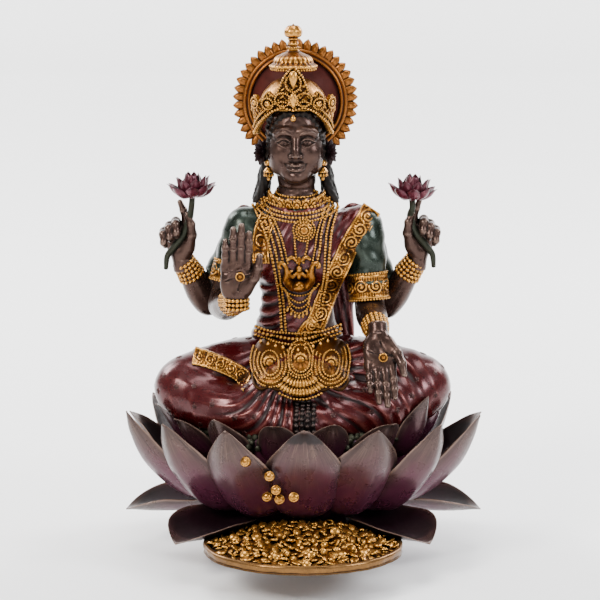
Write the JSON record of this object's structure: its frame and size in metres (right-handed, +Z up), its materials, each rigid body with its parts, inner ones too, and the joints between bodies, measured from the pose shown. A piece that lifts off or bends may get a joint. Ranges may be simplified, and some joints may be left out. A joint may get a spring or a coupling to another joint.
{
  "type": "seated goddess figurine",
  "caption": "Seated four-armed Hindu goddess figurine with crown, halo and held lotus flowers, on a lotus seat with a dish of coins at the front",
  "frame": {"origin": "centre of the felt pad's underside, on the lotus seat's axis", "axes": "+Z up, -Y the way the figure faces, +X the figure's left side"},
  "size_m": [0.178, 0.203, 0.247],
  "materials": {
    "felt": "matte felt",
    "petal_purple": "cast resin, metallic plum paint",
    "pale_gold": "cast resin, pale gold paint",
    "antique_gold": "cast resin, antique gold paint with dark wash",
    "saree_crimson": "cast resin, metallic crimson paint",
    "dark_beads": "cast resin, dark paint",
    "skin_bronze": "cast resin, dark bronze finish",
    "blouse_green": "cast resin, dark green patina",
    "hair_black": "cast resin, near-black paint",
    "flower_red": "cast resin, metallic plum-red paint",
    "halo_red": "cast resin, dark red-brown paint",
    "stem_green": "cast resin, green paint"
  },
  "bodies": {
    "root": {"felt_pad": "felt", "lotus_core": "petal_purple", "ground_petals": "petal_purple", "outer_petals": "petal_purple", "inner_petals": "petal_purple", "stamen_beads": "pale_gold", "coin_tray": "antique_gold", "coin_heap": "antique_gold", "petal_coins": "antique_gold", "crossed_legs": "saree_crimson", "lap_pleats": "saree_crimson", "bead_tassel": "dark_beads", "apron_ornament": "antique_gold", "thigh_border": "antique_gold", "hip_belt": "antique_gold", "belt_medallions": "antique_gold", "torso": "skin_bronze", "blouse": "blouse_green", "sash": "saree_crimson", "sash_border": "antique_gold", "choker": "antique_gold", "brooch": "antique_gold", "bead_strings": "antique_gold", "crescent_pendant": "antique_gold", "pendant_fringe": "antique_gold", "head": "skin_bronze", "hair": "hair_black", "ear_flowers": "flower_red", "earrings": "antique_gold", "crown_band": "antique_gold", "crown_dome": "antique_gold", "crown_finial": "antique_gold", "halo_disc": "halo_red", "halo_rim": "antique_gold", "halo_rays": "antique_gold", "right_armlet": "antique_gold", "left_armlet": "antique_gold", "palm_coins": "antique_gold", "right_front_sleeve": "blouse_green", "right_front_arm": "skin_bronze", "right_front_bangle": "antique_gold", "right_front_hand": "skin_bronze", "left_front_sleeve": "blouse_green", "left_front_arm": "skin_bronze", "left_front_bangle": "antique_gold", "left_front_hand": "skin_bronze", "right_rear_sleeve": "blouse_green", "right_rear_arm": "skin_bronze", "right_rear_bangle": "antique_gold", "right_rear_hand": "skin_bronze", "left_rear_sleeve": "blouse_green", "left_rear_arm": "skin_bronze", "left_rear_bangle": "antique_gold", "left_rear_hand": "skin_bronze", "right_stem": "stem_green", "right_flower": "flower_red", "left_stem": "stem_green", "left_flower": "flower_red"}
  },
  "joints": []
}
